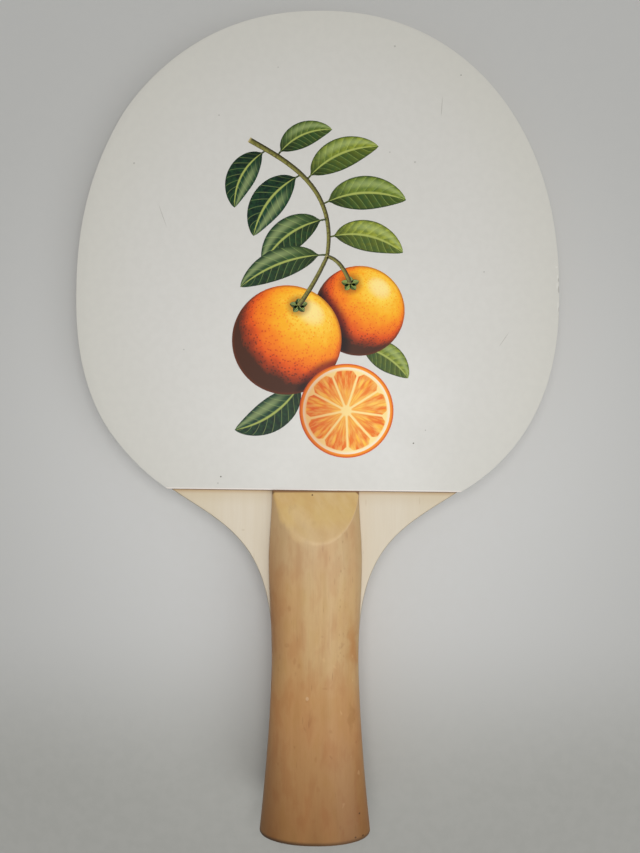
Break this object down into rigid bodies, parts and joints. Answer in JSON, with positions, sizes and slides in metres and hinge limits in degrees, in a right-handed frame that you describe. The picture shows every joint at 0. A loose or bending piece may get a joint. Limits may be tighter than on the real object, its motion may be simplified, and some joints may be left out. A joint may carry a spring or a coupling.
{
  "type": "table tennis racket",
  "caption": "Table tennis racket with a flared wooden handle, a plywood blade with curved shoulders, and smooth foam-backed facings cut straight across the handle.",
  "frame": {"origin": "centre of the flat butt end of the handle, in the middle plane of the blade", "axes": "+Y from the butt of the handle to the tip of the head, +Z out of the front playing face, X across the blade"},
  "size_m": [0.15, 0.254, 0.0246],
  "materials": {
    "core_wood": "matte, sanded, edges bare",
    "crossband_wood": "matte, sanded, grain across the blade",
    "veneer_wood": "satin, pale, fine straight grain",
    "handle_wood": "satin, worn by the hand, small dark pores",
    "foam": "matte, closed cell",
    "facing_sheet": "smooth, low sheen, off-white"
  },
  "bodies": {
    "root": {"core_ply": "core_wood", "front_crossband": "crossband_wood", "back_crossband": "crossband_wood", "front_face_veneer": "veneer_wood", "back_face_veneer": "veneer_wood", "front_handle_scale": "handle_wood", "back_handle_scale": "handle_wood", "front_foam": "foam", "back_foam": "foam", "front_facing_sheet": "facing_sheet", "back_facing_sheet": "facing_sheet"}
  },
  "joints": []
}
